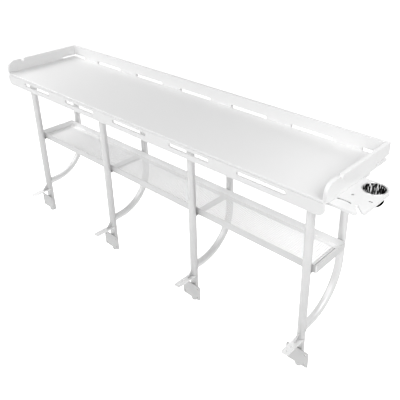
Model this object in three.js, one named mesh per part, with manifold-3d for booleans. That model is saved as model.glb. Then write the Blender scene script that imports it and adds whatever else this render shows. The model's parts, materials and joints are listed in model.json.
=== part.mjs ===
// Fish cleaning table that fastens to the edge of a dock: a long white plastic top with splash
// boards round three sides and an apron in front, on four tube leg frames, with a slotted tray
// below and a side shelf with a drop-in drink holder at the right-hand end.
// Millimetres. Built with X along the table from its left-hand end, Y back from its front edge and
// Z up from its working surface, then moved so that the origin is the middle of the front face of
// the left-hand leg's dock plate.

import * as THREE from 'three';
import { mergeVertices } from 'three/addons/utils/BufferGeometryUtils.js';
import Module from 'manifold-3d';

const wasm = await Module();
wasm.setup();

// Top board and its fine detail
const TABLE_LENGTH = 2438;
const TABLE_DEPTH = 533;
const TOP_THICKNESS = 12.7;
const TOP_CORNER_RADIUS = 20;
const TOP_NOSE_RADIUS = 5;

// Splash boards: the side ones stand on the top board, the rear one on feet behind its rear edge
const SPLASH_THICKNESS = 19;
const SPLASH_RISE = 75;
const SPLASH_FRONT_SETBACK = 3;
const SPLASH_FRONT_RADIUS = 52;
const BOARD_EDGE_ROUND = 1.5;
const SCUPPER_HEIGHT = 12;
const SCUPPER_CORNER_RADIUS = 5;
const REAR_SCUPPER_COUNT = 5;
const REAR_FOOT_LENGTH = 158;
const REAR_SCUPPER_OFFSET = -9;
const CORNER_SCUPPER_LENGTH = 132;
const SIDE_SCUPPER_LENGTH = 104;
const LINE_NOTCH_SETBACK = 112;
const LINE_NOTCH_WIDTH = 27;
const LINE_NOTCH_DEPTH = 27;
const LINE_NOTCH_LIP_RADIUS = 3;
const LINE_NOTCH_ROOT_RADIUS = 5;

// Apron under the front edge
const APRON_THICKNESS = 12.7;
const APRON_HEIGHT = 63;
const APRON_END_INSET = 6;
const APRON_CORNER_RADIUS = 30;
const APRON_SLOT_COUNT = 5;
const APRON_SLOT_HEIGHT = 20;
const APRON_SLOT_SPACING = 171;
const APRON_SLOT_END_SPACE = 197;
const APRON_SLOT_LEVEL = 25.5;

// Leg frames
const LEG_COUNT = 4;
const LEG_INSET = 122;
const TUBE_RADIUS = 21.1;
const TUBE_WALL = 3.2;
const POST_SETBACK = 97;
const LEG_SPREAD = 304;
const ARM_STRAIGHT = 54;
const WORK_HEIGHT = 873;
const ARM_ABOVE_DECK = 61;
const FOOT_BELOW_DECK = 164;
const CAP_DOME = 9;
const CAP_SPIGOT = 14;
const TOP_RAIL_WIDTH = 50;
const TOP_RAIL_THICKNESS = 6;
const TOP_RAIL_OVERHANG = 12;
const TOP_RAIL_CORNER_RADIUS = 8;

// Dock brackets, one at the foot of each post
const PLATE_WIDTH = 130;
const PLATE_HEIGHT = 95;
const PLATE_THICKNESS = 6;
const PLATE_BELOW_DECK = 47;
const PLATE_CORNER_RADIUS = 10;
const PLATE_HOLE_RADIUS = 5.5;
const PLATE_HOLE_INSET = 17;
const STRAP_WIDTH = 40;
const STRAP_REACH = 121;
const STRAP_THICKNESS = 6;
const STRAP_CLIP = 8;
const STRAP_HOLE_RADIUS = 5;
const STRAP_HOLE_INSET = 23;
const STRAP_HOLE_SPACING = 36;
const GUSSET_BASE = 33;
const GUSSET_RISE = 36;
const GUSSET_THICKNESS = 6;
const GUSSET_TIP = 4;

// Tray between the posts and the rear tubes
const TRAY_ABOVE_DECK = 400;
const TRAY_HEIGHT = 41;
const TRAY_SHEET = 3;
const TRAY_OVERHANG = 37;
const TRAY_TUBE_GAP = 4;
const TRAY_CORNER_RADIUS = 9;
const TRAY_SLOT_PITCH = 12;
const TRAY_SLOT_WIDTH = 5.5;
const TRAY_FIELD_COUNT = 3;
const TRAY_STRIP_WIDTH = 53;
const TRAY_LEFT_MARGIN = 18;
const TRAY_RIGHT_MARGIN = 35;
const TRAY_FRONT_MARGIN = 46;
const TRAY_BACK_MARGIN = 31;
const TRAY_RAIL_WIDTH = 30;
const TRAY_RAIL_THICKNESS = 6;

// Side shelf screwed up under the right-hand end of the top board, with its drink holder
const SHELF_THICKNESS = 12.7;
const SHELF_TUCK = 80;
const SHELF_FRONT_SETBACK = 24;
const SHELF_TAB_LENGTH = 345;
const SHELF_TAB_CORNER_RADIUS = 12;
const SHELF_NECK_RADIUS = 6;
const TONGUE_REACH = 119;
const TONGUE_CORNER_RADIUS = 11;
const FINGER_SETBACK = 52;
const FINGER_CORNER_RADIUS = 11;
const HOOK_NOTCH_OUT = 90;
const HOOK_NOTCH_SETBACK = 82;
const HOOK_NOTCH_LEAN = THREE.MathUtils.degToRad(44);
const HOOK_NOTCH_WIDTH = 15;
const HOOK_NOTCH_LIP_RADIUS = 4;
const HOOK_NOTCH_ROOT_RADIUS = 6;
const CUP_OUT = 83.5;
const CUP_SETBACK = 244;
const CUP_EDGE_MARGIN = 8;
const CUP_FLANGE_RADIUS = 54.5;
const CUP_MOUTH_RADIUS = 49;
const CUP_BASE_RADIUS = 45.5;
const CUP_BASE_CORNER = 32;
const CUP_DEPTH = 77;
const CUP_SHEET = 1.2;
const CUP_RIM_RISE = 3;
const CUP_HOLE_GAP = 1.5;
const KNIFE_SLOT_START = 2;
const KNIFE_SLOT_LENGTH = 67;
const KNIFE_SLOT_WIDTH = 7;
const KNIFE_SLOT_SETBACK = 79;
const KNIFE_SLOT_BOW = 4;
const SHORT_SLOT_OUT = 121;
const SHORT_SLOT_SETBACK = 141;
const SHORT_SLOT_LENGTH = 20;
const SHORT_SLOT_WIDTH = 7;
const ROUND_HOLE_OUT = 37;
const ROUND_HOLE_SETBACK = 144;
const ROUND_HOLE_RADIUS = 7.5;

// Gap left where a piece meets a round tube, and how far a cutter runs past what it cuts
const SEAT_GAP = 0.3;
const OVERRUN = 5;

// How finely round stretches are divided
const CORNER_STEPS = 4;
const ARC_CHORD = 8;
const SLOT_END_STEPS = 5;
const BOW_SHARES = [0.5, 0, -0.5];
const TUBE_SIDES = 24;
const BORE_SIDES = 12;
const BEND_STEPS = 10;
const CUP_SIDES = 40;
const CUP_CORNER_STEPS = 8;
const HOLE_SIDES = 12;

// Places and lengths worked out from the sizes above
const TOP_BACK = TABLE_DEPTH - SPLASH_THICKNESS;
const REAR_SCUPPER_PITCH = TABLE_LENGTH / (REAR_SCUPPER_COUNT + 1);
const REAR_SCUPPER_LENGTH = REAR_SCUPPER_PITCH - REAR_FOOT_LENGTH;
const APRON_SLOT_ROOM = TABLE_LENGTH - 2 * APRON_SLOT_END_SPACE;
const APRON_SLOT_PITCH = (APRON_SLOT_ROOM + APRON_SLOT_SPACING) / APRON_SLOT_COUNT;
const APRON_SLOT_LENGTH = APRON_SLOT_PITCH - APRON_SLOT_SPACING;
const DECK_LEVEL = -WORK_HEIGHT;
const POST_TOP = -TOP_THICKNESS - TOP_RAIL_THICKNESS;
const POST_BOTTOM = DECK_LEVEL - FOOT_BELOW_DECK;
const POST_FRONT = POST_SETBACK - TUBE_RADIUS - SEAT_GAP;
const REAR_TUBE_SETBACK = POST_SETBACK + LEG_SPREAD;
const ARM_LEVEL = DECK_LEVEL + ARM_ABOVE_DECK;
const BEND_RADIUS = LEG_SPREAD - ARM_STRAIGHT;
const PLATE_TOP = DECK_LEVEL - PLATE_BELOW_DECK;
const PLATE_BACK = POST_FRONT;
const STRAP_TOP = DECK_LEVEL + STRAP_THICKNESS;
const TRAY_FLOOR = DECK_LEVEL + TRAY_ABOVE_DECK;
const TRAY_FRONT = POST_SETBACK + TUBE_RADIUS + TRAY_TUBE_GAP;
const TRAY_BACK = REAR_TUBE_SETBACK - TUBE_RADIUS - TRAY_TUBE_GAP;
const TRAY_LEFT = LEG_INSET - TRAY_OVERHANG;
const TRAY_RIGHT = TABLE_LENGTH - LEG_INSET + TRAY_OVERHANG;
const SHELF_TOP = -TOP_THICKNESS;
const CUP_HOLE_RADIUS = CUP_MOUTH_RADIUS + CUP_SHEET + CUP_HOLE_GAP;
const SHELF_ROUND_RADIUS = CUP_FLANGE_RADIUS + CUP_EDGE_MARGIN;

const finish = (color, roughness, metalness) => (
  new THREE.MeshStandardMaterial({ color, roughness, metalness })
);
const plastic = () => finish(0xededeb, 0.42, 0);
const aluminium = () => finish(0xc9cacb, 0.38, 0.85);
const stainless = () => finish(0xb9bbbd, 0.12, 1);
const capPlastic = () => finish(0x8d8e90, 0.6, 0);

const table = new THREE.Group();

function put(name, geometry, material) {
  const mesh = new THREE.Mesh(geometry, material);
  mesh.name = name;
  table.add(mesh);
}

// A closed geometry as a solid, and back again
function solidOf(geometry) {
  const bare = geometry.clone();
  bare.deleteAttribute('normal');
  bare.deleteAttribute('uv');
  const merged = mergeVertices(bare.index ? bare.toNonIndexed() : bare);
  const mesh = new wasm.Mesh({
    numProp: 3,
    vertProperties: new Float32Array(merged.attributes.position.array),
    triVerts: new Uint32Array(merged.index.array),
  });
  return new wasm.Manifold(mesh);
}

function geometryOf(solid) {
  const mesh = solid.getMesh();
  const geometry = new THREE.BufferGeometry();
  const corners = new Float32Array(mesh.vertProperties);
  geometry.setAttribute('position', new THREE.BufferAttribute(corners, 3));
  geometry.setIndex(new THREE.BufferAttribute(new Uint32Array(mesh.triVerts), 1));
  return geometry;
}

const cut = (geometry, ...tools) => geometryOf(
  tools.reduce((left, tool) => left.subtract(solidOf(tool)), solidOf(geometry)),
);

// Points of a closed outline given as corners [x, y, radius], each rounded by an arc
function roundedPoints(corners) {
  const points = [];
  corners.forEach(([x, y, radius = 0], i) => {
    const corner = new THREE.Vector2(x, y);
    if (radius === 0) {
      points.push(corner);
      return;
    }
    const before = corners.at(i - 1);
    const after = corners[(i + 1) % corners.length];
    const toBefore = new THREE.Vector2(before[0], before[1]).sub(corner).normalize();
    const toAfter = new THREE.Vector2(after[0], after[1]).sub(corner).normalize();
    const half = Math.acos(THREE.MathUtils.clamp(toBefore.dot(toAfter), -1, 1)) / 2;
    const inward = toBefore.clone().add(toAfter).normalize();
    const centre = corner.clone().addScaledVector(inward, radius / Math.sin(half));
    const first = corner.clone().addScaledVector(toBefore, radius / Math.tan(half)).sub(centre);
    const turn = (Math.PI - 2 * half) * Math.sign(first.cross(inward));
    const steps = Math.max(CORNER_STEPS, Math.round((radius * Math.abs(turn)) / ARC_CHORD));
    for (let step = 0; step <= steps; step += 1) {
      const spoke = first.clone().rotateAround(new THREE.Vector2(), -turn * (step / steps));
      points.push(centre.clone().add(spoke));
    }
  });
  return points;
}

const outline = (corners) => new THREE.Shape(roundedPoints(corners));

function circlePoints(x, y, radius, sides) {
  return Array.from({ length: sides }, (_, i) => {
    const angle = (2 * Math.PI * i) / sides;
    return new THREE.Vector2(x + radius * Math.cos(angle), y + radius * Math.sin(angle));
  });
}

// A slot with half-round ends whose middle line runs along x and bows up by `bow` at its centre
function slotPoints(x, y, length, width, bow = 0) {
  const radius = width / 2;
  const reach = length / 2 - radius;
  const rise = (share) => bow * (1 - share * share);
  const points = [];
  for (const side of [1, -1]) {
    for (let step = 0; step <= SLOT_END_STEPS; step += 1) {
      const angle = side * Math.PI * (0.5 - step / SLOT_END_STEPS);
      const along = side * radius * Math.cos(angle);
      points.push(new THREE.Vector2(x + side * reach + along, y + radius * Math.sin(angle)));
    }
    if (bow > 0) {
      points.push(...BOW_SHARES.map(
        (share) => new THREE.Vector2(x + side * share * reach, y - side * radius + rise(share)),
      ));
    }
  }
  return points;
}

const withHoles = (shape, ...holes) => {
  shape.holes.push(...holes.map((points) => new THREE.Path(points)));
  return shape;
};

// A flat piece of the given outline and thickness, with its edges rounded by `edge`
function slab(shape, thickness, edge = 0) {
  return new THREE.ExtrudeGeometry(shape, {
    depth: thickness - 2 * edge,
    steps: 1,
    bevelEnabled: edge > 0,
    bevelThickness: edge,
    bevelSize: edge,
    bevelOffset: -edge,
    bevelSegments: 2,
  }).translate(0, 0, edge);
}

// Turns a slab whose outline is given in (x, z) so that its thickness runs back from `front`
function facing(geometry, front, thickness) {
  const turned = new THREE.Matrix4().makeBasis(
    new THREE.Vector3(1, 0, 0), new THREE.Vector3(0, 0, 1), new THREE.Vector3(0, -1, 0),
  );
  return geometry.applyMatrix4(turned).translate(0, front + thickness, 0);
}

// Turns a slab whose outline is given in (y, z) so that its thickness runs right from `left`
function endways(geometry, left) {
  const turned = new THREE.Matrix4().makeBasis(
    new THREE.Vector3(0, 1, 0), new THREE.Vector3(0, 0, 1), new THREE.Vector3(1, 0, 0),
  );
  return geometry.applyMatrix4(turned).translate(left, 0, 0);
}

// A slab lying flat, with its outline in (x, y) and its underside at `bottom`
const lying = (geometry, bottom) => geometry.translate(0, 0, bottom);

const legX = (i) => LEG_INSET + (i * (TABLE_LENGTH - 2 * LEG_INSET)) / (LEG_COUNT - 1);

function topBoard() {
  const plan = outline([
    [0, 0, TOP_CORNER_RADIUS],
    [TABLE_LENGTH, 0, TOP_CORNER_RADIUS],
    [TABLE_LENGTH, TOP_BACK],
    [0, TOP_BACK],
  ]);
  const section = outline([
    [0, -TOP_THICKNESS, TOP_NOSE_RADIUS],
    [TOP_BACK + OVERRUN, -TOP_THICKNESS],
    [TOP_BACK + OVERRUN, 0],
    [0, 0, TOP_NOSE_RADIUS],
  ]);
  const sheet = lying(slab(plan, TOP_THICKNESS), -TOP_THICKNESS);
  const nosed = endways(slab(section, TABLE_LENGTH + 2 * OVERRUN), -OVERRUN);
  return geometryOf(solidOf(sheet).intersect(solidOf(nosed)));
}

function sideSplash(left) {
  const scupperFront = TOP_BACK - SIDE_SCUPPER_LENGTH;
  const notchHalf = LINE_NOTCH_WIDTH / 2;
  const shape = outline([
    [SPLASH_FRONT_SETBACK, 0],
    [scupperFront, 0],
    [scupperFront, SCUPPER_HEIGHT, SCUPPER_CORNER_RADIUS],
    [TOP_BACK, SCUPPER_HEIGHT],
    [TOP_BACK, SPLASH_RISE],
    [LINE_NOTCH_SETBACK + notchHalf, SPLASH_RISE, LINE_NOTCH_LIP_RADIUS],
    [LINE_NOTCH_SETBACK, SPLASH_RISE - LINE_NOTCH_DEPTH, LINE_NOTCH_ROOT_RADIUS],
    [LINE_NOTCH_SETBACK - notchHalf, SPLASH_RISE, LINE_NOTCH_LIP_RADIUS],
    [SPLASH_FRONT_SETBACK, SPLASH_RISE, SPLASH_FRONT_RADIUS],
  ]);
  return endways(slab(shape, SPLASH_THICKNESS, BOARD_EDGE_ROUND), left);
}

function rearSplash() {
  const foot = -TOP_THICKNESS;
  const patternMiddle = TABLE_LENGTH / 2 + REAR_SCUPPER_OFFSET;
  const corners = [
    [0, SPLASH_RISE],
    [0, SCUPPER_HEIGHT],
    [CORNER_SCUPPER_LENGTH, SCUPPER_HEIGHT, SCUPPER_CORNER_RADIUS],
    [CORNER_SCUPPER_LENGTH, foot],
  ];
  for (let i = 0; i < REAR_SCUPPER_COUNT; i += 1) {
    const middle = patternMiddle + (i - (REAR_SCUPPER_COUNT - 1) / 2) * REAR_SCUPPER_PITCH;
    const start = middle - REAR_SCUPPER_LENGTH / 2;
    const end = middle + REAR_SCUPPER_LENGTH / 2;
    corners.push(
      [start, foot],
      [start, SCUPPER_HEIGHT, SCUPPER_CORNER_RADIUS],
      [end, SCUPPER_HEIGHT, SCUPPER_CORNER_RADIUS],
      [end, foot],
    );
  }
  const lastFoot = TABLE_LENGTH - CORNER_SCUPPER_LENGTH;
  corners.push(
    [lastFoot, foot],
    [lastFoot, SCUPPER_HEIGHT, SCUPPER_CORNER_RADIUS],
    [TABLE_LENGTH, SCUPPER_HEIGHT],
    [TABLE_LENGTH, SPLASH_RISE],
  );
  const board = slab(outline(corners), SPLASH_THICKNESS, BOARD_EDGE_ROUND);
  return facing(board, TOP_BACK, SPLASH_THICKNESS);
}

function frontApron() {
  const top = -TOP_THICKNESS;
  const bottom = top - APRON_HEIGHT;
  const right = TABLE_LENGTH - APRON_END_INSET;
  const shape = outline([
    [APRON_END_INSET, top],
    [APRON_END_INSET, bottom, APRON_CORNER_RADIUS],
    [right, bottom, APRON_CORNER_RADIUS],
    [right, top],
  ]);
  const slots = Array.from({ length: APRON_SLOT_COUNT }, (_, i) => slotPoints(
    TABLE_LENGTH / 2 + (i - (APRON_SLOT_COUNT - 1) / 2) * APRON_SLOT_PITCH,
    top - APRON_SLOT_LEVEL,
    APRON_SLOT_LENGTH,
    APRON_SLOT_HEIGHT,
  ));
  const board = slab(withHoles(shape, ...slots), APRON_THICKNESS, BOARD_EDGE_ROUND);
  return facing(board, 0, APRON_THICKNESS);
}

function sideShelf() {
  const lean = new THREE.Vector2(Math.sin(HOOK_NOTCH_LEAN), -Math.cos(HOOK_NOTCH_LEAN));
  const across = new THREE.Vector2(lean.y, -lean.x).multiplyScalar(HOOK_NOTCH_WIDTH / 2);
  const root = new THREE.Vector2(TABLE_LENGTH + HOOK_NOTCH_OUT, HOOK_NOTCH_SETBACK);
  const rootLeft = root.clone().add(across);
  const rootRight = root.clone().sub(across);
  const tongueEnd = TABLE_LENGTH + TONGUE_REACH;
  const mouthLeft = rootLeft.y + ((tongueEnd - rootLeft.x) * lean.y) / lean.x;
  const mouthRight = rootRight.x + ((FINGER_SETBACK - rootRight.y) * lean.x) / lean.y;
  const right = TABLE_LENGTH + CUP_OUT + SHELF_ROUND_RADIUS;
  const back = CUP_SETBACK + SHELF_ROUND_RADIUS;
  const left = TABLE_LENGTH - SHELF_TUCK;
  const tabBack = SHELF_FRONT_SETBACK + SHELF_TAB_LENGTH;
  const shape = outline([
    [left, SHELF_FRONT_SETBACK],
    [tongueEnd, SHELF_FRONT_SETBACK, TONGUE_CORNER_RADIUS],
    [tongueEnd, mouthLeft, HOOK_NOTCH_LIP_RADIUS],
    [rootLeft.x, rootLeft.y, HOOK_NOTCH_ROOT_RADIUS],
    [rootRight.x, rootRight.y, HOOK_NOTCH_ROOT_RADIUS],
    [mouthRight, FINGER_SETBACK, HOOK_NOTCH_LIP_RADIUS],
    [right, FINGER_SETBACK, FINGER_CORNER_RADIUS],
    [right, back, SHELF_ROUND_RADIUS],
    [TABLE_LENGTH, back, SHELF_NECK_RADIUS],
    [TABLE_LENGTH, tabBack, SHELF_TAB_CORNER_RADIUS],
    [left, tabBack],
  ]);
  const knifeMiddle = TABLE_LENGTH + KNIFE_SLOT_START + KNIFE_SLOT_LENGTH / 2;
  withHoles(
    shape,
    circlePoints(TABLE_LENGTH + CUP_OUT, CUP_SETBACK, CUP_HOLE_RADIUS, CUP_SIDES),
    slotPoints(
      knifeMiddle, KNIFE_SLOT_SETBACK, KNIFE_SLOT_LENGTH, KNIFE_SLOT_WIDTH, KNIFE_SLOT_BOW,
    ),
    slotPoints(
      TABLE_LENGTH + SHORT_SLOT_OUT, SHORT_SLOT_SETBACK, SHORT_SLOT_LENGTH, SHORT_SLOT_WIDTH,
    ),
    circlePoints(
      TABLE_LENGTH + ROUND_HOLE_OUT, ROUND_HOLE_SETBACK, ROUND_HOLE_RADIUS, HOLE_SIDES,
    ),
  );
  return lying(slab(shape, SHELF_THICKNESS), SHELF_TOP - SHELF_THICKNESS);
}

// A profile of (radius, height) points turned round the vertical axis
const turned = (points, sides) => new THREE.LatheGeometry(points, sides).rotateX(Math.PI / 2);

function arcPoints(x, y, radiusX, radiusY, from, to, steps) {
  return Array.from({ length: steps + 1 }, (_, i) => {
    const angle = from + ((to - from) * i) / steps;
    return new THREE.Vector2(x + radiusX * Math.cos(angle), y + radiusY * Math.sin(angle));
  });
}

// Pressed cup with a raised rim that rests on the side shelf, heights measured from the shelf
function cupHolder() {
  const corner = CUP_BASE_CORNER;
  const inner = corner - CUP_SHEET;
  const floor = -CUP_DEPTH;
  const flat = CUP_BASE_RADIUS - corner;
  const bend = floor + corner;
  const rimMiddle = (CUP_FLANGE_RADIUS + CUP_MOUTH_RADIUS) / 2;
  const rimHalf = (CUP_FLANGE_RADIUS - CUP_MOUTH_RADIUS) / 2;
  const points = [
    new THREE.Vector2(0, floor),
    ...arcPoints(flat, bend, corner, corner, -Math.PI / 2, 0, CUP_CORNER_STEPS),
    new THREE.Vector2(CUP_MOUTH_RADIUS + CUP_SHEET, 0),
    ...arcPoints(rimMiddle, 0, rimHalf, CUP_RIM_RISE, 0, Math.PI, CORNER_STEPS),
    ...arcPoints(flat, bend, inner, inner, 0, -Math.PI / 2, CUP_CORNER_STEPS),
    new THREE.Vector2(0, floor + CUP_SHEET),
  ];
  const cup = turned(points, CUP_SIDES);
  return cup.translate(TABLE_LENGTH + CUP_OUT, CUP_SETBACK, SHELF_TOP);
}

const tubeSection = () => withHoles(
  new THREE.Shape(circlePoints(0, 0, TUBE_RADIUS, TUBE_SIDES)),
  circlePoints(0, 0, TUBE_RADIUS - TUBE_WALL, BORE_SIDES),
);

function frontPost(x) {
  const post = slab(tubeSection(), POST_TOP - POST_BOTTOM);
  return post.translate(x, POST_SETBACK, POST_BOTTOM);
}

// Room for an upright tube at (x, y), used to cut what meets it to its round side
function tubeRoom(x, y, bottom, top) {
  const height = top - bottom + 2 * OVERRUN;
  const room = new THREE.CylinderGeometry(
    TUBE_RADIUS + SEAT_GAP, TUBE_RADIUS + SEAT_GAP, height, 2 * TUBE_SIDES,
  );
  return room.rotateX(Math.PI / 2).translate(x, y, (top + bottom) / 2);
}

// Middle line of a rear tube: straight down, round a quarter bend and forward to the post
class RearTubePath extends THREE.Curve {
  constructor(x) {
    super();
    const bend = arcPoints(
      POST_SETBACK + ARM_STRAIGHT, ARM_LEVEL + BEND_RADIUS, BEND_RADIUS, BEND_RADIUS,
      0, -Math.PI / 2, BEND_STEPS,
    );
    this.stations = [
      new THREE.Vector3(x, REAR_TUBE_SETBACK, POST_TOP),
      ...bend.map((point) => new THREE.Vector3(x, point.x, point.y)),
      new THREE.Vector3(x, POST_SETBACK, ARM_LEVEL),
    ];
  }

  getPointAt(share) {
    return this.stations[Math.round(share * (this.stations.length - 1))].clone();
  }

  getTangentAt(share) {
    const bendShare = Math.round(share * (this.stations.length - 1)) - 1;
    const angle = (Math.PI / 2) * THREE.MathUtils.clamp(bendShare / BEND_STEPS, 0, 1);
    return new THREE.Vector3(0, -Math.sin(angle), -Math.cos(angle));
  }
}

function rearTube(x) {
  const path = new RearTubePath(x);
  const tube = new THREE.ExtrudeGeometry(tubeSection(), {
    steps: path.stations.length - 1,
    extrudePath: path,
    bevelEnabled: false,
  });
  return cut(tube, tubeRoom(x, POST_SETBACK, ARM_LEVEL - TUBE_RADIUS, ARM_LEVEL + TUBE_RADIUS));
}

// Domed plug in the bottom of a post, its spigot clear of the flats of the post's bore
function footCap(x) {
  const spigotRadius = (TUBE_RADIUS - TUBE_WALL) * Math.cos(Math.PI / BORE_SIDES) - SEAT_GAP;
  const cap = turned([
    ...arcPoints(0, 0, TUBE_RADIUS, CAP_DOME, -Math.PI / 2, 0, CORNER_STEPS),
    new THREE.Vector2(spigotRadius, 0),
    new THREE.Vector2(spigotRadius, CAP_SPIGOT),
    new THREE.Vector2(0, CAP_SPIGOT),
  ], TUBE_SIDES);
  return cap.translate(x, POST_SETBACK, POST_BOTTOM);
}

// Flat bar across the tops of one post and one rear tube, under the top board
function topRail(x) {
  const half = TOP_RAIL_WIDTH / 2;
  const front = POST_SETBACK - TUBE_RADIUS - TOP_RAIL_OVERHANG;
  const back = REAR_TUBE_SETBACK + TUBE_RADIUS + TOP_RAIL_OVERHANG;
  const bar = outline([
    [x - half, front, TOP_RAIL_CORNER_RADIUS],
    [x + half, front, TOP_RAIL_CORNER_RADIUS],
    [x + half, back, TOP_RAIL_CORNER_RADIUS],
    [x - half, back, TOP_RAIL_CORNER_RADIUS],
  ]);
  return lying(slab(bar, TOP_RAIL_THICKNESS), POST_TOP);
}

// Upright plate that bolts to the face of the dock
function dockPlate(x) {
  const half = PLATE_WIDTH / 2;
  const bottom = PLATE_TOP - PLATE_HEIGHT;
  const shape = outline([
    [x - half, bottom, PLATE_CORNER_RADIUS],
    [x + half, bottom, PLATE_CORNER_RADIUS],
    [x + half, PLATE_TOP, PLATE_CORNER_RADIUS],
    [x - half, PLATE_TOP, PLATE_CORNER_RADIUS],
  ]);
  for (const side of [-1, 1]) {
    for (const level of [bottom + PLATE_HOLE_INSET, PLATE_TOP - PLATE_HOLE_INSET]) {
      const holeX = x + side * (half - PLATE_HOLE_INSET);
      withHoles(shape, circlePoints(holeX, level, PLATE_HOLE_RADIUS, HOLE_SIDES));
    }
  }
  return facing(slab(shape, PLATE_THICKNESS), PLATE_BACK - PLATE_THICKNESS, PLATE_THICKNESS);
}

// Strap that lies on the deck of the dock and is screwed down through two holes
function dockStrap(x) {
  const half = STRAP_WIDTH / 2;
  const front = POST_FRONT - STRAP_REACH;
  const shape = outline([
    [x - half + STRAP_CLIP, front],
    [x + half - STRAP_CLIP, front],
    [x + half, front + STRAP_CLIP],
    [x + half, POST_SETBACK],
    [x - half, POST_SETBACK],
    [x - half, front + STRAP_CLIP],
  ]);
  for (const setback of [STRAP_HOLE_INSET, STRAP_HOLE_INSET + STRAP_HOLE_SPACING]) {
    withHoles(shape, circlePoints(x, front + setback, STRAP_HOLE_RADIUS, HOLE_SIDES));
  }
  const bar = lying(slab(shape, STRAP_THICKNESS), DECK_LEVEL);
  return cut(bar, tubeRoom(x, POST_SETBACK, DECK_LEVEL, STRAP_TOP));
}

// Triangular web that stands on the strap and braces it to the post
function gusset(x) {
  const shape = outline([
    [POST_FRONT, STRAP_TOP],
    [POST_FRONT, STRAP_TOP + GUSSET_RISE],
    [POST_FRONT - GUSSET_TIP, STRAP_TOP + GUSSET_RISE],
    [POST_FRONT - GUSSET_BASE, STRAP_TOP + GUSSET_TIP],
    [POST_FRONT - GUSSET_BASE, STRAP_TOP],
  ]);
  return endways(slab(shape, GUSSET_THICKNESS), x - GUSSET_THICKNESS / 2);
}

// Flat bar from post to rear tube that carries the tray
function trayRail(x) {
  const half = TRAY_RAIL_WIDTH / 2;
  const bottom = TRAY_FLOOR - TRAY_RAIL_THICKNESS;
  const bar = lying(slab(outline([
    [x - half, POST_SETBACK],
    [x + half, POST_SETBACK],
    [x + half, REAR_TUBE_SETBACK],
    [x - half, REAR_TUBE_SETBACK],
  ]), TRAY_RAIL_THICKNESS), bottom);
  return cut(
    bar,
    tubeRoom(x, POST_SETBACK, bottom, TRAY_FLOOR),
    tubeRoom(x, REAR_TUBE_SETBACK, bottom, TRAY_FLOOR),
  );
}

// One rectangle of the tray's plan, moved in from its outer faces by `inset`
function trayCorners(inset) {
  const radius = TRAY_CORNER_RADIUS - inset;
  return [
    [TRAY_LEFT + inset, TRAY_FRONT + inset, radius],
    [TRAY_RIGHT - inset, TRAY_FRONT + inset, radius],
    [TRAY_RIGHT - inset, TRAY_BACK - inset, radius],
    [TRAY_LEFT + inset, TRAY_BACK - inset, radius],
  ];
}

// Rooms of the tray's drain slots: equal fields of evenly spread slots with plain strips between
function traySlotRooms() {
  const front = TRAY_FRONT + TRAY_FRONT_MARGIN;
  const back = TRAY_BACK - TRAY_BACK_MARGIN;
  const first = TRAY_LEFT + TRAY_LEFT_MARGIN;
  const last = TRAY_RIGHT - TRAY_RIGHT_MARGIN;
  const height = TRAY_SHEET + 2 * OVERRUN;
  const strips = (TRAY_FIELD_COUNT - 1) * TRAY_STRIP_WIDTH;
  const field = (last - first - strips) / TRAY_FIELD_COUNT;
  const gaps = Math.round((field - TRAY_SLOT_WIDTH) / TRAY_SLOT_PITCH);
  const pitch = (field - TRAY_SLOT_WIDTH) / gaps;
  const rooms = [];
  for (let k = 0; k < TRAY_FIELD_COUNT; k += 1) {
    const start = first + k * (field + TRAY_STRIP_WIDTH) + TRAY_SLOT_WIDTH / 2;
    for (let i = 0; i <= gaps; i += 1) {
      const room = new THREE.BoxGeometry(TRAY_SLOT_WIDTH, back - front, height);
      rooms.push(room.translate(start + i * pitch, (front + back) / 2, TRAY_SHEET / 2));
    }
  }
  return rooms;
}

function drainTray() {
  const block = slab(outline(trayCorners(0)), TRAY_HEIGHT);
  const inside = slab(outline(trayCorners(TRAY_SHEET)), TRAY_HEIGHT);
  return lying(cut(block, inside.translate(0, 0, TRAY_SHEET), ...traySlotRooms()), TRAY_FLOOR);
}

put('top_board', topBoard(), plastic());
put('splash_left', sideSplash(0), plastic());
put('splash_right', sideSplash(TABLE_LENGTH - SPLASH_THICKNESS), plastic());
put('splash_rear', rearSplash(), plastic());
put('front_apron', frontApron(), plastic());
put('side_shelf', sideShelf(), plastic());
put('cup_holder', cupHolder(), stainless());
put('drain_tray', drainTray(), aluminium());

for (let i = 0; i < LEG_COUNT; i += 1) {
  const x = legX(i);
  const leg = `leg_${i + 1}`;
  put(`${leg}_post`, frontPost(x), aluminium());
  put(`${leg}_rear_tube`, rearTube(x), aluminium());
  put(`${leg}_foot_cap`, footCap(x), capPlastic());
  put(`${leg}_top_rail`, topRail(x), aluminium());
  put(`${leg}_tray_rail`, trayRail(x), aluminium());
  put(`${leg}_dock_plate`, dockPlate(x), aluminium());
  put(`${leg}_dock_strap`, dockStrap(x), aluminium());
  put(`${leg}_gusset`, gusset(x), aluminium());
}

table.position.set(-legX(0), PLATE_THICKNESS - PLATE_BACK, PLATE_HEIGHT / 2 - PLATE_TOP);

const part = new THREE.Group();
part.add(table);

export default part;
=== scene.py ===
# Looks of the fish cleaning table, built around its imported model: materials, edge finish, weld
# beads, and a plain pale studio with the camera at the photograph's viewing angle.
# Metres throughout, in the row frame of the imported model, but for the camera's lens and sensor.

import json
import math

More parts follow.
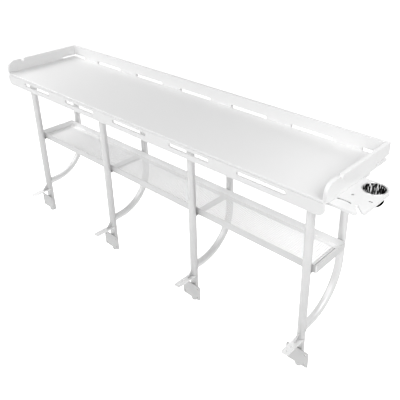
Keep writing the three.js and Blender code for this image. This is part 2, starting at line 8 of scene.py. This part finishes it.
import bpy
from mathutils import Euler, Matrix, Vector

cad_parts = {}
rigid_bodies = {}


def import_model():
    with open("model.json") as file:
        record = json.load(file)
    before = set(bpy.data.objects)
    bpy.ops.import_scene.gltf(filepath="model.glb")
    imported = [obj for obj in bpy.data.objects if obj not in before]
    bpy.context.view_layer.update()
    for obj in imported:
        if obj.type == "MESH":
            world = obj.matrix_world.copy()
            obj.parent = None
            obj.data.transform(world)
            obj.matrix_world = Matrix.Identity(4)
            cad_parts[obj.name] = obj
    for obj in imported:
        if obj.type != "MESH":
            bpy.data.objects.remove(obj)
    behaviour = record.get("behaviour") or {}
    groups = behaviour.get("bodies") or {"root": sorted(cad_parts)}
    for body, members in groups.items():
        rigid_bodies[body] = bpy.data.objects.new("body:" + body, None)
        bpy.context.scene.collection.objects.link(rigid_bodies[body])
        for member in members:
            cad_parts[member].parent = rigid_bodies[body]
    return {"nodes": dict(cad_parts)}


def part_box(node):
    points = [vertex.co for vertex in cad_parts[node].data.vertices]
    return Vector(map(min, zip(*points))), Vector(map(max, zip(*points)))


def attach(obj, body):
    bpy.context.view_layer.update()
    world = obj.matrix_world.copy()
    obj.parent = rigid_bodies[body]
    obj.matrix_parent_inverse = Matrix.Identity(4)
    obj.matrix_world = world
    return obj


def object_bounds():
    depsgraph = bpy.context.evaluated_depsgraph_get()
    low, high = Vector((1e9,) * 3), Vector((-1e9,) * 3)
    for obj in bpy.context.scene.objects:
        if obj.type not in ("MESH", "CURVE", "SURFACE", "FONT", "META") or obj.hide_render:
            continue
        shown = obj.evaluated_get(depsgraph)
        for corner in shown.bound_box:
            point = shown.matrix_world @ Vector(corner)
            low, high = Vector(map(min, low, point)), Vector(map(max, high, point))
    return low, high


for leftover in list(bpy.data.objects):
    bpy.data.objects.remove(leftover)

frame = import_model()
cad_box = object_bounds()
nodes = frame["nodes"]

# Camera, its lens and sensor in millimetres
CAMERA_PLACE = (3.2647, -1.7398, 2.1249)
CAMERA_TURN_DEG = (62.8625, 0.1038, 41.7503)
CAMERA_LENS = 50.07
CAMERA_SENSOR = 36.0
CAMERA_SHIFT = (-0.057935, -0.103189)
CAMERA_NEAR = 0.05
CAMERA_FAR = 200.0

# Studio: a wide pale floor, even light from all round and large soft lamps
FLOOR_REACH = 40.0
FLOOR_GREY = 0.9
FLOOR_GLOW = 0.85
ROOM_GREY = 0.25
LAMPS = {
    "lamp_front": {
        "place": (1.1, -4.0, 3.8), "aim": (1.1, 0.1, 0.7), "size": 2.6, "watts": 74.0,
    },
    "lamp_front_left": {
        "place": (-2.4, -3.0, 2.8), "aim": (0.6, 0.1, 0.7), "size": 2.2, "watts": 47.0,
    },
    "lamp_front_right": {
        "place": (4.6, -3.0, 2.8), "aim": (1.6, 0.1, 0.7), "size": 2.2, "watts": 40.0,
    },
    "lamp_left": {
        "place": (-1.2, 0.1, 2.2), "aim": (0.0, 0.15, 0.9), "size": 1.2, "watts": 18.0,
    },
    "lamp_right": {
        "place": (3.6, -0.1, 2.3), "aim": (2.3, 0.1, 0.9), "size": 1.4, "watts": 25.0,
    },
    "lamp_back": {
        "place": (1.2, 3.0, 1.5), "aim": (1.2, 0.2, 0.6), "size": 2.2, "watts": 16.0,
    },
}

# Edge finish
SMOOTH_ANGLE = math.radians(50)
FLAT_ANGLE = math.radians(0.5)
JOIN_DISTANCE = 1e-5
BOARD_EDGE = 0.0012
METAL_EDGE = 0.0006
EDGE_STEPS = 2

# Painted shade in seams and narrow slots: how far round a point is searched, and the open shares
# between which its colour goes from painted shade to clear
SEAM_SHADE_REACH = 0.02
BOARD_SEAM_SHADE_SHARES = (0.34, 0.45)
METAL_SEAM_SHADE_SHARES = (0.3, 0.5)

# Patterns: greys are linear, pattern scales are repeats per metre, shares of a pattern are the
# levels between which it goes from none to full, and a bump is a strength and a depth
FINE_DETAIL = 2.0
FINE_BREAKS = 0.5
PATCH_DETAIL = 3.0

# White board
BOARD_GREYS = (0.83, 0.86)
# Painted shade in seams and slots: mild on the boards, near black in the side shelf's slots
BOARD_SEAM_SHADE_GREY = 0.8
SHELF_SLOT_SHADE_GREY = 0.02
BOARD_ROUGHNESS = (0.32, 0.42)
BOARD_IOR = 1.5
BOARD_CLOUDS = 2.2
BOARD_PEBBLES = 900.0
BOARD_PEBBLE_BUMP = (0.12, 0.0004)
SCUFF_LINES = (14.0, 420.0, 60.0)
SCUFF_DETAIL = 4.0
SCUFF_BREAKS = 0.7
SCUFF_SHARES = (0.66, 0.74)
SCUFF_GREY = 0.8
SCUFF_GREY_SHARE = 0.25
SCUFF_ROUGHNESS = 0.12
SCUFF_BUMP = (0.05, 0.0002)

# Worked metal
METAL_PATCHES = 12.0
METAL_PATCH_BUMP = (0.05, 0.002)
METAL_LINE_BUMP = (0.15, 0.0002)
METAL_LINE_ROUGHNESS = 0.05

# Tubes
POST_GREYS = (0.65, 0.76)
POST_LINES = (1500.0, 1500.0, 6.0)
# Painted shade on the posts, from none at their top to this share at their foot
POST_SHADE_SHARE = 0.2
# Painted light: the rear tubes are the post metal painted paler
REAR_TUBE_LIT_GREYS = (0.7, 0.78)
REAR_TUBE_LINES = (900.0, 900.0, 900.0)
TUBE_METALLIC = 0.3
TUBE_ROUGHNESS = (0.34, 0.44)
# Grey of the painted shade in the tubes' seams
TUBE_SEAM_SHADE_GREY = 0.4

# Plates, straps and weld beads
PLATE_GREYS = (0.48, 0.56)
PLATE_LINES = (60.0, 900.0, 900.0)
# Painted light: the straps are the plate metal painted paler, for the light on the deck
STRAP_LIT_GREYS = (0.8, 0.88)
STRAP_LINES = (900.0, 60.0, 900.0)
WELD_GREYS = (0.55, 0.68)
PLATE_METALLIC = 0.3
PLATE_ROUGHNESS = (0.38, 0.5)
# Grey of the painted shade in the seams of plates, straps and weld beads
PLATE_SEAM_SHADE_GREY = 0.1

# Tray; a side depth is 0 at the sides of the box round the tray, and negative inside it
TRAY_GREYS = (0.87, 0.92)
TRAY_LINES = (30.0, 1100.0, 1100.0)
TRAY_METALLIC = 0.15
TRAY_ROUGHNESS = (0.38, 0.48)
# Grey of the painted shade in the tray's seams
TRAY_SEAM_SHADE_GREY = 0.82
# Share of painted shade on the tray's outer sides
TRAY_SHADE_SHARE = 0.24
TRAY_SIDE_DEPTHS = (-0.002, -0.001)

# Cup; its greys are painted reflections: a dark body, sheens and pale streaks, and a rim highlight
CUP_DARK_REFLECTION_GREY = 0.02
CUP_PAINTED_SHEEN_GREY = 0.3
CUP_STREAK_REFLECTION_GREY = 0.95
CUP_RIM_HIGHLIGHT_GREY = 0.6
CUP_EDGE_GREY = 0.1
CUP_SHEENS = 5.0
CUP_PAINTED_SHEEN_SHARES = (0.45, 0.6)
CUP_STREAKS = 8.0
CUP_STREAK_REFLECTION_SHARES = (0.54, 0.6)
CUP_STREAK_BUMP = (0.15, 0.0005)
CUP_UPWARD_SCALE = 3.0
CUP_ROUGHNESS = (0.08, 0.2)
CUP_RIM_HEIGHT = 0.004
CUP_RIM_BLEND = 0.001

# End caps
CAP_GREYS = (0.24, 0.3)
CAP_ROUGHNESS = (0.5, 0.65)
CAP_PATCHES = 60.0
CAP_PEBBLES = 1400.0
CAP_PEBBLE_BUMP = (0.2, 0.0003)

# Weld beads of the leg frames; turns go round an upright axis, from the right of the table
WELD_RADIUS = 0.0019
WELD_RIPPLE = 0.0026
WELD_RIPPLE_SHARE = 0.16
WELD_END_SHARE = 0.3
WELD_STEP = 0.0009
WELD_SIDES = 8
WELD_PROUD = 0.0009
PLATE_WELD_DEPTH = 0.0025
PLATE_WELD_END = 0.006
FEWEST_ARC_STEPS = 2
FRONT_TURN = 1.5 * math.pi

# Numbers of the colour sockets on a mix node
MIX_FIRST = 6
MIX_SECOND = 7
MIX_RESULT = 2


# Helpers

def new_material(name):
    material = bpy.data.materials.new(name)
    material.use_nodes = True
    tree = material.node_tree
    tree.nodes.clear()
    return material, tree


def give(tree, socket, value):
    """Sets an input to a value, or links it where the value is another node's output."""
    if isinstance(value, bpy.types.NodeSocket):
        tree.links.new(value, socket)
    else:
        socket.default_value = value


def add(tree, kind, settings=None, **inputs):
    """One shader node with its settings, its inputs given by name."""
    made = tree.nodes.new(kind)
    for key, value in (settings or {}).items():
        setattr(made, key, value)
    for key, value in inputs.items():
        give(tree, made.inputs[key.replace("_", " ")], value)
    return made


def maths(tree, operation, *values):
    made = add(tree, "ShaderNodeMath", {"operation": operation})
    for socket, value in zip(made.inputs, values):
        give(tree, socket, value)
    return made.outputs["Value"]


def vector_maths(tree, operation, *values):
    made = add(tree, "ShaderNodeVectorMath", {"operation": operation})
    for socket, value in zip(made.inputs, values):
        give(tree, socket, value)
    return made.outputs["Value" if operation == "DOT_PRODUCT" else "Vector"]


def split(tree, vector):
    """The X, Y and Z outputs of a vector."""
    return add(tree, "ShaderNodeSeparateXYZ", Vector=vector).outputs


def place_in_object(tree):
    return add(tree, "ShaderNodeTexCoord").outputs["Object"]


def stretched(tree, place, scales):
    return add(tree, "ShaderNodeMapping", Vector=place, Scale=scales).outputs["Vector"]


def noise(tree, place, scale=1.0, detail=FINE_DETAIL, breaks=FINE_BREAKS):
    made = add(
        tree, "ShaderNodeTexNoise", Vector=place, Scale=scale, Detail=detail, Roughness=breaks,
    )
    return made.outputs["Fac"]


def between(tree, share, low, high):
    """The share from 0 to 1 turned into a number from low to high."""
    made = add(tree, "ShaderNodeMapRange", Value=share, To_Min=low, To_Max=high)
    return made.outputs["Result"]


def band(tree, value, start, end):
    """0 at the start and before it, 1 at the end and past it, smooth between."""
    smooth = {"interpolation_type": "SMOOTHSTEP"}
    made = add(tree, "ShaderNodeMapRange", smooth, Value=value, From_Min=start, From_Max=end)
    return made.outputs["Result"]


def mixed(tree, share, first, second):
    """The first colour where the share is 0, the second where it is 1."""
    made = add(tree, "ShaderNodeMix", {"data_type": "RGBA"}, Factor=share)
    give(tree, made.inputs[MIX_FIRST], first)
    give(tree, made.inputs[MIX_SECOND], second)
    return made.outputs[MIX_RESULT]


def bumps(tree, *layers):
    """Patterns, each with its bump, stacked into one normal."""
    normal = None
    for height, (strength, depth) in layers:
        made = add(tree, "ShaderNodeBump", Strength=strength, Distance=depth, Height=height)
        if normal is not None:
            tree.links.new(normal, made.inputs["Normal"])
        normal = made.outputs["Normal"]
    return normal


def finish_material(tree, **inputs):
    shader = add(tree, "ShaderNodeBsdfPrincipled", **inputs)
    add(tree, "ShaderNodeOutputMaterial", Surface=shader.outputs["BSDF"])


def grey(value):
    return (value, value, value, 1.0)


def put(made):
    """Puts a new object into the scene."""
    bpy.context.scene.collection.objects.link(made)


def painted_seam_shade(tree, colour, seam_shade_grey, seam_shade_shares):
    """The colour, with painted shade deep inside narrow slots and seams."""
    found = add(tree, "ShaderNodeAmbientOcclusion", Distance=SEAM_SHADE_REACH)
    clear = band(tree, found.outputs["AO"], *seam_shade_shares)
    return mixed(tree, clear, grey(seam_shade_grey), colour)


# Materials

def white_board(name, seam_shade_grey):
    """Sheet of white plastic: faint clouds, a pebbled skin, hair-fine scuffs and painted shade in
    seams.
    """
    material, tree = new_material(name)
    place = place_in_object(tree)
    cloud = noise(tree, place, BOARD_CLOUDS, PATCH_DETAIL)
    pebbles = noise(tree, place, BOARD_PEBBLES)
    scuff = noise(
        tree, stretched(tree, place, SCUFF_LINES), detail=SCUFF_DETAIL, breaks=SCUFF_BREAKS,
    )
    scuffed = band(tree, scuff, *SCUFF_SHARES)
    colour = mixed(tree, cloud, *map(grey, BOARD_GREYS))
    worn = maths(tree, "MULTIPLY", scuffed, SCUFF_GREY_SHARE)
    colour = mixed(tree, worn, colour, grey(SCUFF_GREY))
    colour = painted_seam_shade(tree, colour, seam_shade_grey, BOARD_SEAM_SHADE_SHARES)
    rough = between(tree, cloud, *BOARD_ROUGHNESS)
    rougher = maths(tree, "MULTIPLY", scuffed, SCUFF_ROUGHNESS)
    finish_material(
        tree, Base_Color=colour, Roughness=maths(tree, "ADD", rough, rougher), IOR=BOARD_IOR,
        Normal=bumps(tree, (pebbles, BOARD_PEBBLE_BUMP), (scuffed, SCUFF_BUMP)),
    )
    return material


def worked_metal(name, greys, metallic, roughness, lines, seam_shade_grey, shade=None):
    """Satin metal with fine lines one way, soft dull patches and painted shade in seams.

    A shade is a function giving the share by which each point is painted towards black as shade.
    """
    material, tree = new_material(name)
    place = place_in_object(tree)
    line = noise(tree, stretched(tree, place, lines))
    patch = noise(tree, place, METAL_PATCHES, PATCH_DETAIL)
    colour = mixed(tree, patch, *map(grey, greys))
    if shade:
        # Painted shade, where a shade function is given
        colour = mixed(tree, shade(tree, place), colour, grey(0.0))
    colour = painted_seam_shade(tree, colour, seam_shade_grey, METAL_SEAM_SHADE_SHARES)
    rough = between(tree, patch, *roughness)
    uneven = between(tree, line, -METAL_LINE_ROUGHNESS, METAL_LINE_ROUGHNESS)
    finish_material(
        tree, Base_Color=colour, Metallic=metallic, Roughness=maths(tree, "ADD", rough, uneven),
        Normal=bumps(tree, (line, METAL_LINE_BUMP), (patch, METAL_PATCH_BUMP)),
    )
    return material


def post_metal():
    """Drawn aluminium tube with its lines along the post, with shade painted on towards the deck.
    """
    low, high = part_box("leg_1_post")

    def shade(tree, place):
        lowness = band(tree, split(tree, place)["Z"], high.z, low.z)
        return maths(tree, "MULTIPLY", lowness, POST_SHADE_SHARE)

    return worked_metal(
        "post_metal_look", POST_GREYS, TUBE_METALLIC, TUBE_ROUGHNESS, POST_LINES, TUBE_SEAM_SHADE_GREY,
        shade,
    )


def lit_rear_tube_metal():
    """Bent aluminium tube, painted paler than the posts as light on it, and with an even grain."""
    return worked_metal(
        "lit_rear_tube_metal_look", REAR_TUBE_LIT_GREYS, TUBE_METALLIC, TUBE_ROUGHNESS, REAR_TUBE_LINES,
        TUBE_SEAM_SHADE_GREY,
    )


def plate_metal():
    """Rolled aluminium plate, duller than the tubes."""
    return worked_metal(
        "plate_metal_look", PLATE_GREYS, PLATE_METALLIC, PLATE_ROUGHNESS, PLATE_LINES,
        PLATE_SEAM_SHADE_GREY,
    )


def lit_strap_metal():
    """Rolled flat bar of the straps that lie on the deck, painted bright as the light on them."""
    return worked_metal(
        "lit_strap_metal_look", STRAP_LIT_GREYS, PLATE_METALLIC, PLATE_ROUGHNESS, STRAP_LINES,
        PLATE_SEAM_SHADE_GREY,
    )


def weld_metal():
    """Weld bead, a little duller and rougher than the tubes it joins."""
    return worked_metal(
        "weld_metal_look", WELD_GREYS, PLATE_METALLIC, PLATE_ROUGHNESS, STRAP_LINES,
        TUBE_SEAM_SHADE_GREY,
    )


def tray_metal():
    """Pale satin sheet metal with a fine grain along the tray, and shade painted on its outer
    sides.
    """
    low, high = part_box("drain_tray")
    middle = (low + high) / 2
    half = (high - low) / 2

    def shade(tree, place):
        offset = vector_maths(tree, "SUBTRACT", place, tuple(middle))
        reach = vector_maths(tree, "ABSOLUTE", offset)
        depths = split(tree, vector_maths(tree, "SUBTRACT", reach, tuple(half)))
        nearest = maths(tree, "MAXIMUM", depths["X"], depths["Y"])
        outer = band(tree, nearest, *TRAY_SIDE_DEPTHS)
        return maths(tree, "MULTIPLY", outer, TRAY_SHADE_SHARE)

    return worked_metal(
        "tray_metal_look", TRAY_GREYS, TRAY_METALLIC, TRAY_ROUGHNESS, TRAY_LINES, TRAY_SEAM_SHADE_GREY,
        shade,
    )


def cup_outward(tree, place, middle):
    """The level direction from the cup's axis to each point."""
    spoke = vector_maths(tree, "SUBTRACT", place, (middle.x, middle.y, 0.0))
    level_spoke = vector_maths(tree, "MULTIPLY", spoke, (1.0, 1.0, 0.0))
    return vector_maths(tree, "NORMALIZE", level_spoke)


def cup_inside(tree, outward):
    """1 where the surface faces the cup's axis, else 0."""
    facing = add(tree, "ShaderNodeNewGeometry").outputs["Normal"]
    towards = vector_maths(tree, "DOT_PRODUCT", outward, facing)
    return maths(tree, "LESS_THAN", towards, 0.0)


def cup_metal():
    """Polished steel painted dark as reflection; painted sheens and pale upright streaks inside; a
    painted rim highlight.
    """
    material, tree = new_material("cup_metal_look")
    low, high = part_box("cup_holder")
    place = place_in_object(tree)
    outward = cup_outward(tree, place, (low + high) / 2)
    inside = cup_inside(tree, outward)
    height = split(tree, place)["Z"]
    upward = maths(tree, "MULTIPLY", height, CUP_UPWARD_SCALE)
    upright = add(tree, "ShaderNodeCombineXYZ", Z=upward).outputs["Vector"]
    round_wall = vector_maths(tree, "ADD", outward, upright)
    sheens = noise(tree, round_wall, CUP_SHEENS)
    streaks = noise(tree, round_wall, CUP_STREAKS)
    painted_sheen = maths(tree, "MULTIPLY", band(tree, sheens, *CUP_PAINTED_SHEEN_SHARES), inside)
    painted_streak = maths(tree, "MULTIPLY", band(tree, streaks, *CUP_STREAK_REFLECTION_SHARES), inside)
    rim_level = high.z - CUP_RIM_HEIGHT
    on_rim = band(tree, height, rim_level, rim_level + CUP_RIM_BLEND)
    # Painted reflections: a dark body, with sheens and pale streaks inside, then a pale rim
    # highlight
    colour = mixed(tree, painted_sheen, grey(CUP_DARK_REFLECTION_GREY), grey(CUP_PAINTED_SHEEN_GREY))
    colour = mixed(tree, painted_streak, colour, grey(CUP_STREAK_REFLECTION_GREY))
    colour = mixed(tree, on_rim, colour, grey(CUP_RIM_HIGHLIGHT_GREY))
    finish_material(
        tree, Base_Color=colour, Metallic=maths(tree, "SUBTRACT", 1.0, painted_streak),
        Roughness=between(tree, streaks, *CUP_ROUGHNESS), Specular_Tint=grey(CUP_EDGE_GREY),
        Normal=bumps(tree, (streaks, CUP_STREAK_BUMP)),
    )
    return material


def cap_plastic():
    """Moulded grey plastic end cap with a fine pebbled skin."""
    material, tree = new_material("cap_plastic_look")
    place = place_in_object(tree)
    pebbles = noise(tree, place, CAP_PEBBLES)
    patch = noise(tree, place, CAP_PATCHES, PATCH_DETAIL)
    finish_material(
        tree, Base_Color=mixed(tree, patch, *map(grey, CAP_GREYS)),
        Roughness=between(tree, patch, *CAP_ROUGHNESS),
        Normal=bumps(tree, (pebbles, CAP_PEBBLE_BUMP)),
    )
    return material


def seen_share(tree):
    """1 for what the camera sees straight, in a reflection or through glass, else 0."""
    path = add(tree, "ShaderNodeLightPath").outputs
    share = maths(tree, "MAXIMUM", path["Is Camera Ray"], path["Is Glossy Ray"])
    return maths(tree, "MAXIMUM", share, path["Is Transmission Ray"])


def floor_material():
    """Plain pale floor. What the camera and mirrors see of it is lifted towards white."""
    material, tree = new_material("floor_look")
    lift = maths(tree, "MULTIPLY", seen_share(tree), FLOOR_GLOW)
    glow = add(tree, "ShaderNodeEmission", Color=grey(1.0), Strength=lift)
    paint = add(tree, "ShaderNodeBsdfDiffuse", Color=grey(FLOOR_GREY))
    both = add(tree, "ShaderNodeAddShader")
    for socket, part in zip(both.inputs, (paint, glow)):
        tree.links.new(part.outputs[0], socket)
    add(tree, "ShaderNodeOutputMaterial", Surface=both.outputs["Shader"])
    return material


# Edge finish

def geometry_group(name):
    group = bpy.data.node_groups.new(name, "GeometryNodeTree")
    group.interface.new_socket("Geometry", in_out="INPUT", socket_type="NodeSocketGeometry")
    group.interface.new_socket("Geometry", in_out="OUTPUT", socket_type="NodeSocketGeometry")
    return group, group.nodes.new("NodeGroupInput"), group.nodes.new("NodeGroupOutput")


def joining_group():
    """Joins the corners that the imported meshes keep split, and drops their fixed normals."""
    group, start, end = geometry_group("joined_corners")
    bare = group.nodes.new("GeometryNodeRemoveAttribute")
    bare.inputs["Name"].default_value = "custom_normal"
    joined = group.nodes.new("GeometryNodeMergeByDistance")
    joined.inputs["Distance"].default_value = JOIN_DISTANCE
    group.links.new(start.outputs[0], bare.inputs["Geometry"])
    group.links.new(bare.outputs[0], joined.inputs["Geometry"])
    group.links.new(joined.outputs[0], end.inputs[0])
    return group


def smoothing_group():
    """Shades smooth across all but sharp edges."""
    group, start, end = geometry_group("smooth_by_angle")
    smooth = group.nodes.new("GeometryNodeSetShadeSmooth")
    smooth.domain = "FACE"
    sharp = group.nodes.new("GeometryNodeSetShadeSmooth")
    sharp.domain = "EDGE"
    sharp.inputs["Shade Smooth"].default_value = False
    angle = group.nodes.new("GeometryNodeInputMeshEdgeAngle")
    limit = group.nodes.new("FunctionNodeCompare")
    limit.data_type = "FLOAT"
    limit.operation = "GREATER_THAN"
    limit.inputs[1].default_value = SMOOTH_ANGLE
    group.links.new(start.outputs[0], smooth.inputs["Geometry"])
    group.links.new(smooth.outputs[0], sharp.inputs["Geometry"])
    group.links.new(angle.outputs[0], limit.inputs[0])
    group.links.new(limit.outputs[0], sharp.inputs["Selection"])
    group.links.new(sharp.outputs[0], end.inputs[0])
    return group


def finish_edges(piece, width, joining, smoothing):
    """Breaks the sharp edges of a piece and shades its rounds and flats evenly."""
    piece.modifiers.new("joined_corners", "NODES").node_group = joining
    flats = piece.modifiers.new("joined_flats", "DECIMATE")
    flats.decimate_type = "DISSOLVE"
    flats.angle_limit = FLAT_ANGLE
    edges = piece.modifiers.new("broken_edges", "BEVEL")
    edges.width = width
    edges.segments = EDGE_STEPS
    edges.limit_method = "ANGLE"
    edges.angle_limit = SMOOTH_ANGLE
    piece.modifiers.new("smooth_by_angle", "NODES").node_group = smoothing
    even = piece.modifiers.new("even_shading", "WEIGHTED_NORMAL")
    even.keep_sharp = True


def dress_nodes():
    """Gives each node the look of its slot, or one of its own, and finishes its edges."""
    looks = {
        "white_board": white_board("white_board_look", BOARD_SEAM_SHADE_GREY),
        "tube_metal": post_metal(),
        "plate_metal": plate_metal(),
        "tray_metal": tray_metal(),
        "cup_metal": cup_metal(),
        "cap_plastic": cap_plastic(),
    }
    own_looks = {
        "side_shelf": white_board("side_shelf_look", SHELF_SLOT_SHADE_GREY),
        "_dock_strap": lit_strap_metal(),
        "_rear_tube": lit_rear_tube_metal(),
    }
    joining = joining_group()
    smoothing = smoothing_group()
    for name, node in nodes.items():
        slot = node.data.materials[0].name.split(".")[0]
        own = [look for ending, look in own_looks.items() if name.endswith(ending)]
        node.data.materials[0] = own[0] if own else looks[slot]
        width = BOARD_EDGE if slot == "white_board" else METAL_EDGE
        finish_edges(node, width, joining, smoothing)


# Weld beads

def along(points):
    """Points every weld step along a line of straight stretches."""
    placed = [points[0]]
    for start, end in zip(points, points[1:]):
        steps = max(1, round((end - start).length / WELD_STEP))
        placed += [start.lerp(end, step / steps) for step in range(1, steps + 1)]
    return placed


def bead_radius(index, at_end):
    """Half the bead's width at one of its points: it ripples, and tapers at an open end."""
    ripple = abs(math.sin(math.pi * index * WELD_STEP / WELD_RIPPLE))
    radius = WELD_RADIUS * (1 + WELD_RIPPLE_SHARE * ripple)
    return radius * WELD_END_SHARE if at_end else radius


def bead_corners(spots, closed):
    """Rings of corners round a line of points, one ring after another."""
    count = len(spots)
    corners = []
    side = (spots[1] - spots[0]).normalized().orthogonal().normalized()
    for index, spot in enumerate(spots):
        ahead = spots[(index + 1) % count] if closed or index + 1 < count else spot
        behind = spots[index - 1] if closed or index > 0 else spot
        tangent = (ahead - behind).normalized()
        side = (side - tangent * side.dot(tangent)).normalized()
        up = tangent.cross(side)
        radius = bead_radius(index, not closed and index in (0, count - 1))
        for corner in range(WELD_SIDES):
            angle = math.tau * corner / WELD_SIDES
            corners.append(spot + (side * math.cos(angle) + up * math.sin(angle)) * radius)
    return corners


def bead_faces(count, closed, first):
    """Faces between the rings of a bead whose corners start at the first number."""
    faces = []
    for ring in range(count if closed else count - 1):
        here = first + ring * WELD_SIDES
        there = first + ((ring + 1) % count) * WELD_SIDES
        for corner in range(WELD_SIDES):
            after = (corner + 1) % WELD_SIDES
            faces.append((here + corner, here + after, there + after, there + corner))
    if not closed:
        last = first + (count - 1) * WELD_SIDES
        faces.append(tuple(first + corner for corner in reversed(range(WELD_SIDES))))
        faces.append(tuple(last + corner for corner in range(WELD_SIDES)))
    return faces


def bead_mesh(name, rings, seams):
    """One mesh of rippled round beads: rings end where they start, seams have two ends."""
    beads = [(along(ring)[:-1], True) for ring in rings]
    beads += [(along(seam), False) for seam in seams]
    corners = []
    faces = []
    for spots, closed in beads:
        faces += bead_faces(len(spots), closed, len(corners))
        corners += bead_corners(spots, closed)
    mesh = bpy.data.meshes.new(name)
    mesh.from_pydata(corners, [], faces)
    mesh.shade_smooth()
    return mesh


def level_arc(middle, radius, start, end, level):
    """Points on a level arc round an upright axis, between two turns."""
    steps = max(FEWEST_ARC_STEPS, round(abs(end - start) * radius / WELD_STEP))
    turns = [start + (end - start) * step / steps for step in range(steps + 1)]
    return [
        Vector((middle.x + radius * math.cos(turn), middle.y + radius * math.sin(turn), level))
        for turn in turns
    ]


class LegFrame:
    """The places that the beads of one leg frame follow, read from the boxes of its nodes."""

    def __init__(self, leg):
        self.post_low, self.post_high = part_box(f"{leg}_post")
        self.tube_low, self.tube_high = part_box(f"{leg}_rear_tube")
        self.plate_low, self.plate_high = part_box(f"{leg}_dock_plate")
        self.web_low, self.web_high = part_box(f"{leg}_gusset")
        self.rail_low, self.rail_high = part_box(f"{leg}_tray_rail")
        self.strap_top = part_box(f"{leg}_dock_strap")[1].z
        self.radius = (self.post_high.x - self.post_low.x) / 2
        self.outside = self.radius + WELD_PROUD
        self.post = (self.post_low + self.post_high) / 2
        self.tube = Vector((self.post.x, self.tube_high.y - self.radius, 0.0))


def top_rings(leg):
    """Rings round the post and the rear tube, under the flat bar of the top board."""
    level = leg.post_high.z - WELD_PROUD
    return [
        level_arc(middle, leg.outside, 0.0, math.tau, level) for middle in (leg.post, leg.tube)
    ]


def arm_ring(leg):
    """The saddle line where the level end of the rear tube meets the back of the post."""
    level = leg.tube_low.z + leg.radius
    steps = round(math.tau * leg.radius / WELD_STEP)
    line = []
    for step in range(steps + 1):
        turn = math.tau * step / steps
        across = leg.outside * math.cos(turn)
        back = math.sqrt(max(0.0, leg.radius ** 2 - across ** 2)) + WELD_PROUD
        height = leg.outside * math.sin(turn)
        line.append(Vector((leg.post.x + across, leg.post.y + back, level + height)))
    return line


def strap_seams(leg):
    """Arcs round the front of the post on top of the strap, on either side of the gusset."""
    web_half = math.asin((leg.web_high.x - leg.web_low.x) / 2 / leg.radius)
    spans = ((math.pi, FRONT_TURN - web_half), (FRONT_TURN + web_half, math.tau))
    return [level_arc(leg.post, leg.outside, start, end, leg.strap_top) for start, end in spans]


def gusset_seams(leg):
    """Lines up the post and along the strap, on both sides of the gusset."""
    seams = []
    for x in (leg.web_low.x, leg.web_high.x):
        root = Vector((x, leg.web_high.y, leg.strap_top))
        seams.append([root, Vector((x, leg.web_high.y, leg.web_high.z))])
        seams.append([Vector((x, leg.web_low.y, leg.strap_top)), root])
    return seams


def plate_seams(leg):
    """Upright lines where the back of the dock plate meets the post."""
    offset = math.sqrt(leg.radius ** 2 - (leg.radius - PLATE_WELD_DEPTH) ** 2)
    y = leg.plate_high.y + PLATE_WELD_DEPTH / 2
    low = leg.plate_low.z + PLATE_WELD_END
    high = leg.plate_high.z - PLATE_WELD_END
    sides = (leg.post.x - offset, leg.post.x + offset)
    return [[Vector((x, y, low)), Vector((x, y, high))] for x in sides]


def rail_seams(leg):
    """Arcs under the ends of the tray's bar, on the back of the post and the front of the tube."""
    start = math.acos((leg.rail_high.x - leg.rail_low.x) / 2 / leg.radius)
    end = math.pi - start
    level = leg.rail_low.z
    return [
        level_arc(leg.post, leg.outside, start, end, level),
        level_arc(leg.tube, leg.outside, math.pi + start, math.pi + end, level),
    ]


def leg_welds(name, look):
    """All the beads of one leg frame, as one piece."""
    leg = LegFrame(name)
    rings = top_rings(leg) + [arm_ring(leg)]
    seams = strap_seams(leg) + gusset_seams(leg) + plate_seams(leg) + rail_seams(leg)
    mesh = bead_mesh(f"{name}_welds", rings, seams)
    mesh.materials.append(look)
    piece = bpy.data.objects.new(f"{name}_welds", mesh)
    put(piece)
    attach(piece, "table")


def all_welds():
    look = weld_metal()
    for name in nodes:
        if name.endswith("_post"):
            leg_welds(name.removesuffix("_post"), look)


# Studio

def floor():
    level = cad_box[0].z
    sides = ((-1, -1), (1, -1), (1, 1), (-1, 1))
    corners = [(x * FLOOR_REACH, y * FLOOR_REACH, level) for x, y in sides]
    mesh = bpy.data.meshes.new("floor")
    mesh.from_pydata(corners, [], [range(len(corners))])
    mesh.materials.append(floor_material())
    made = bpy.data.objects.new("floor", mesh)
    put(made)


def room():
    """Even soft light from all round, which the camera and mirrors see as white."""
    world = bpy.data.worlds.new("room")
    bpy.context.scene.world = world
    world.use_nodes = True
    tree = world.node_tree
    tree.nodes.clear()
    colour = mixed(tree, seen_share(tree), grey(ROOM_GREY), grey(1.0))
    light = add(tree, "ShaderNodeBackground", Color=colour)
    add(tree, "ShaderNodeOutputWorld", Surface=light.outputs["Background"])


def lamps():
    for name, facts in LAMPS.items():
        data = bpy.data.lights.new(name, "AREA")
        data.shape = "SQUARE"
        data.size = facts["size"]
        data.energy = facts["watts"]
        made = bpy.data.objects.new(name, data)
        made.location = facts["place"]
        aim = Vector(facts["aim"]) - Vector(facts["place"])
        made.rotation_euler = aim.to_track_quat("-Z", "Y").to_euler()
        put(made)


def camera():
    data = bpy.data.cameras.new("camera")
    data.sensor_width = CAMERA_SENSOR
    data.lens = CAMERA_LENS
    data.shift_x, data.shift_y = CAMERA_SHIFT
    data.clip_start = CAMERA_NEAR
    data.clip_end = CAMERA_FAR
    made = bpy.data.objects.new("camera", data)
    made.location = CAMERA_PLACE
    made.rotation_euler = Euler([math.radians(angle) for angle in CAMERA_TURN_DEG], "XYZ")
    put(made)
    bpy.context.scene.camera = made


bpy.context.scene.view_settings.view_transform = "Standard"
dress_nodes()
all_welds()
floor()
room()
lamps()
camera()
